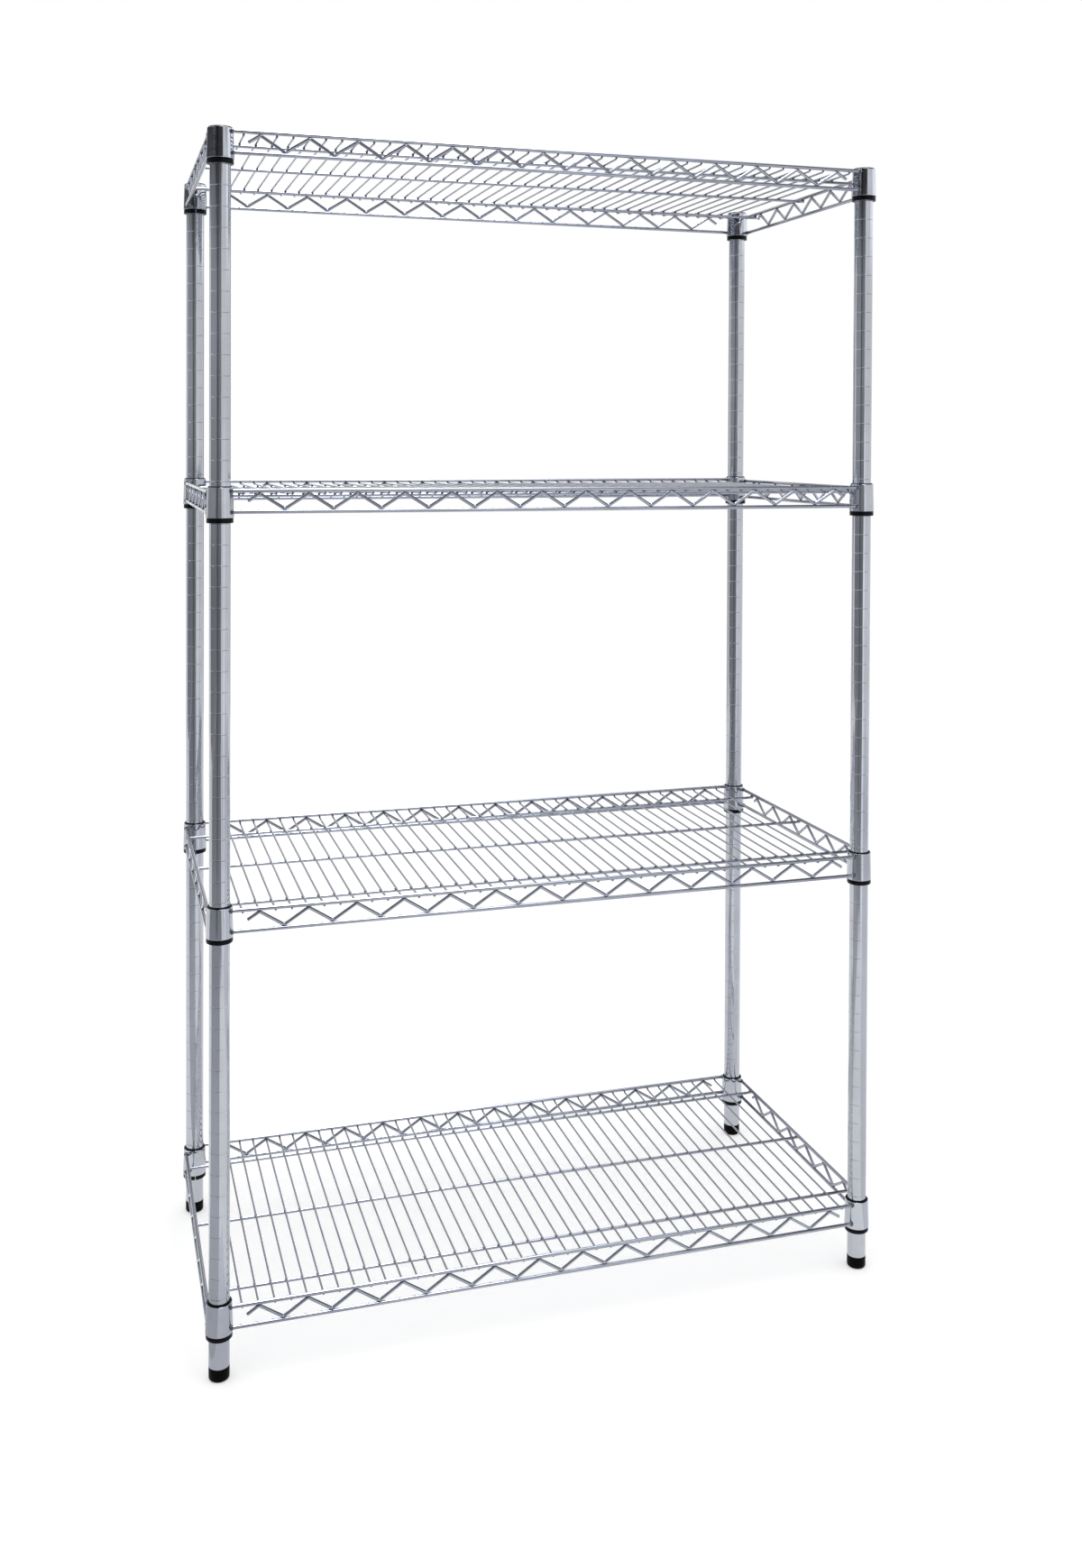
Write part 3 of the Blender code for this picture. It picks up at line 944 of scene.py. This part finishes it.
cards = [  # stops are (metres along the axis, or from the origin if radial; radiance)
    {"name": "cardFrontLeft", "origin": (-2.0, -4.0, 0), "facing": (0, 1, 0), "span": (-2.1, 0, 3.4, 3.6),
     "axis": "Y", "stops": ((0.1, 0.28), (0.6, 0.24), (1.5, 0.38), (1.9, 0.30), (2.3, 0.06), (3.6, 0.05))},
    {"name": "cardFrontHigh", "origin": (0.4, -3.9, 0), "facing": (0, 1, 0), "span": (-0.36, 2.1, 0.36, 3.6),
     "axis": "Y", "stops": ((2.1, 0.5), (2.3, 0.07), (3.6, 0.05))},
    {"name": "cardLeft", "origin": (-4.0, -1.0, 0), "facing": (1, 0, 0), "span": (-3.0, 0, 3.0, 2.75),
     "axis": "Y", "stops": ((0.1, 0.32), (0.6, 0.27), (1.4, 0.50), (1.9, 0.42), (2.3, 0.08), (2.75, 0.06))},
    {"name": "cardLeftHigh", "origin": (-4.0, 3.6, 0), "facing": (1, 0, 0), "span": (-1.6, 2.1, 2.0, 3.2),
     "axis": "Y", "stops": ((2.1, 0.5), (2.35, 0.10), (3.2, 0.08))},
    {"name": "cardStrip", "origin": (-1.42, -2.08, 0), "facing": (0.47, 0.88, 0), "span": (-0.3, 0, 0.3, 2.8),
     "axis": "Y", "stops": ((0.1, 0.20), (0.8, 0.14), (1.6, 0.16), (1.8, 0.10), (2.0, 0.02), (2.8, 0.02))},
    {"name": "cardBright", "origin": (0.55, -1.35, 0), "facing": (-0.4, 1, 0), "span": (-0.15, 0, 0.15, 1.2),
     "axis": "Y", "stops": ((0.1, 1.25), (0.9, 1.35), (1.3, 1.1))},
    # Floor sheets that only the chrome sees: painted floor shade, darker round the front left foot and far
    # out to the left
    {"name": "floorFarLeftPaintedShade", "origin": (-0.43, -0.20, 0.001), "facing": None,
     "span": (-3.5, -3.8, 0.46, -1.40),
     "axis": "radial", "stops": ((1.2, 0.50), (2.4, 0.34), (4.0, 0.28))},
    {"name": "floorLeftPaintedShade", "origin": (-0.43, -0.20, 0.001), "facing": None, "span": (-3.5, -1.40, -0.05, 0.2),
     "axis": "radial",
     "stops": ((0.0, 0.58), (0.3, 0.66), (0.7, 0.64), (1.2, 0.50), (2.4, 0.34), (4.0, 0.28))},
    # painted contact shadow round the front left foot, seen only in the chrome
    {"name": "floorNearPaintedShadow", "origin": (-0.43, -0.20, 0.001), "facing": None, "span": (-0.05, -0.35, 0.2, 0.12),
     "axis": "radial", "stops": ((0.0, 0.74), (0.12, 0.80), (0.3, 0.96))},
    # painted floor shade that only the chrome sees, a little darker at the front right foot
    {"name": "floorRightPaintedShade", "origin": (0.43, -0.20, 0.001), "facing": None, "span": (0.1, -3.8, 3.5, 0.2),
     "axis": "radial", "stops": ((0.0, 0.90), (1.2, 0.98), (2.6, 0.78), (4.0, 0.95))},
    {"name": "ceiling", "origin": (0, 0, 8.0), "facing": None, "span": (-2.5, -4, 14, 8),
     "axis": "X",
     "stops": ((-2.5, 0.3), (-1.0, 0.2), (0.3, 10.0), (1.5, 10.0), (2.4, 2.4), (4.2, 0.12), (14.0, 0.1))},
    {"name": "ceilingFront", "origin": (0, 0, 8.0), "facing": None, "span": (-14, -12, 14, -4),
     "axis": "X", "stops": ((-14.0, 0.1), (-1.0, 0.15), (0.3, 0.7), (1.5, 0.7), (4.2, 0.15), (14.0, 0.1))},
    {"name": "cardRightHigh", "origin": (12.0, 0, 0), "facing": (-1, 0, 0), "span": (-12, 5.7, 12, 8),
     "axis": "Y", "stops": ((5.7, 0.5), (6.2, 0.15), (8.0, 0.1))},
    {"name": "cardRightBright", "origin": (11.8, 0, 0), "facing": (-1, 0, 0), "span": (-9, 2.6, 6, 5.6),
     "axis": "Y", "stops": ((2.6, 1.0), (3.1, 1.45), (4.6, 1.5), (5.6, 1.2))},
    {"name": "cardFrontRightHigh", "origin": (0, -12.0, 0), "facing": (0, 1, 0), "span": (-13, 6.0, -1.5, 8),
     "axis": "Y", "stops": ((6.0, 0.5), (6.5, 0.18), (8.0, 0.1))},
    {"name": "cardBackRight", "origin": (2.2, 3.4, 0), "facing": (-0.5, -1, 0), "span": (-0.8, 0, 0.8, 3.2),
     "axis": "Y", "stops": ((0.0, 0.55), (0.6, 0.40), (2.0, 0.30), (3.2, 0.25))},
    {"name": "cardBackMidRight", "origin": (1.1, 3.62, 0), "facing": (0, -1, 0),
     "span": (-0.38, 0, 0.38, 1.6), "axis": "Y", "stops": ((0.0, 0.50), (1.2, 0.42), (1.6, 0.60))},
    {"name": "cardBackMidLeft", "origin": (-1.1, 3.62, 0), "facing": (0, -1, 0),
     "span": (-0.27, 0, 0.27, 1.6), "axis": "Y", "stops": ((0.0, 0.50), (1.2, 0.42), (1.6, 0.60))},
    {"name": "cardBackLeft", "origin": (-1.9, 3.6, 0), "facing": (0.4, -1, 0), "span": (-0.6, 0, 0.6, 3.2),
     "axis": "Y", "stops": ((0.0, 0.55), (0.6, 0.40), (2.0, 0.30), (3.2, 0.25))},
]


def rampNode(tree, stops):
    # A ramp of tinted greys through the stops; its input is in metres
    low, high = stops[0][0], stops[-1][0]
    scaled = rangeNode(tree, low, high)
    scaled.interpolation_type = "LINEAR"
    ramp = tree.nodes.new("ShaderNodeValToRGB")
    for place, _ in stops[1:-1]:
        ramp.color_ramp.elements.new((place - low) / (high - low))
    for element, (_, radiance) in zip(ramp.color_ramp.elements, stops):
        element.color = (*(radiance * share for share in stageLook["cardTint"]), 1)
    tree.links.new(scaled.outputs["Result"], ramp.inputs["Fac"])
    return scaled.inputs["Value"], ramp.outputs["Color"]


def addCard(look):
    made = bpy.data.materials.new(look["name"])
    made.use_nodes = True
    tree = made.node_tree
    tree.nodes.clear()
    link = tree.links.new
    out = tree.nodes.new("ShaderNodeOutputMaterial")
    light = tree.nodes.new("ShaderNodeEmission")
    where = tree.nodes.new("ShaderNodeTexCoord")
    measured, colour = rampNode(tree, look["stops"])
    if look["axis"] == "radial":
        length = tree.nodes.new("ShaderNodeVectorMath")
        length.operation = "LENGTH"
        link(where.outputs["Object"], length.inputs[0])
        link(length.outputs["Value"], measured)
    else:
        split = tree.nodes.new("ShaderNodeSeparateXYZ")
        link(where.outputs["Object"], split.inputs["Vector"])
        link(split.outputs[look["axis"]], measured)
    link(colour, light.inputs["Color"])
    link(light.outputs["Emission"], out.inputs["Surface"])
    x0, y0, x1, y1 = look["span"]
    fit = Matrix.Translation(((x0 + x1) / 2, (y0 + y1) / 2, 0)) @ Matrix.Diagonal((x1 - x0, y1 - y0, 1, 1))
    shape = bmesh.new()
    bmesh.ops.create_grid(shape, x_segments=1, y_segments=1, size=0.5, matrix=fit)
    mesh = bpy.data.meshes.new(look["name"])
    shape.to_mesh(mesh)
    shape.free()
    mesh.materials.append(made)
    card = bpy.data.objects.new(look["name"], mesh)
    card.location = look["origin"]
    if look["facing"]:
        card.rotation_euler = Vector(look["facing"]).to_track_quat("Z", "Y").to_euler()
    scene.collection.objects.link(card)
    card.visible_camera = False
    card.visible_diffuse = False
    card.visible_shadow = False


lamps = [
    {"name": "overheadSoftbox", "place": (-0.3, -0.9, 3.0), "aim": (0, 0, 0.6), "size": (2.4, 2.0),
     "watts": 16},
    {"name": "rightSoftbox", "place": (2.9, -0.8, 2.4), "aim": (0, 0, 1.4), "size": (2.4, 1.2),
     "watts": 4.5},
]


def addLamp(look):
    light = bpy.data.lights.new(look["name"], "AREA")
    light.shape = "RECTANGLE"
    light.size, light.size_y = look["size"]
    light.energy = look["watts"]
    lamp = bpy.data.objects.new(look["name"], light)
    lamp.location = look["place"]
    lamp.rotation_euler = (Vector(look["aim"]) - Vector(look["place"])).to_track_quat("-Z", "Y").to_euler()
    lamp.visible_camera = False
    lamp.visible_glossy = False
    scene.collection.objects.link(lamp)


addSurround(stageLook)
addFloor(stageLook)
for card in cards:
    addCard(card)
for lamp in lamps:
    addLamp(lamp)
scene.view_settings.view_transform = "Standard"
print("stage set")
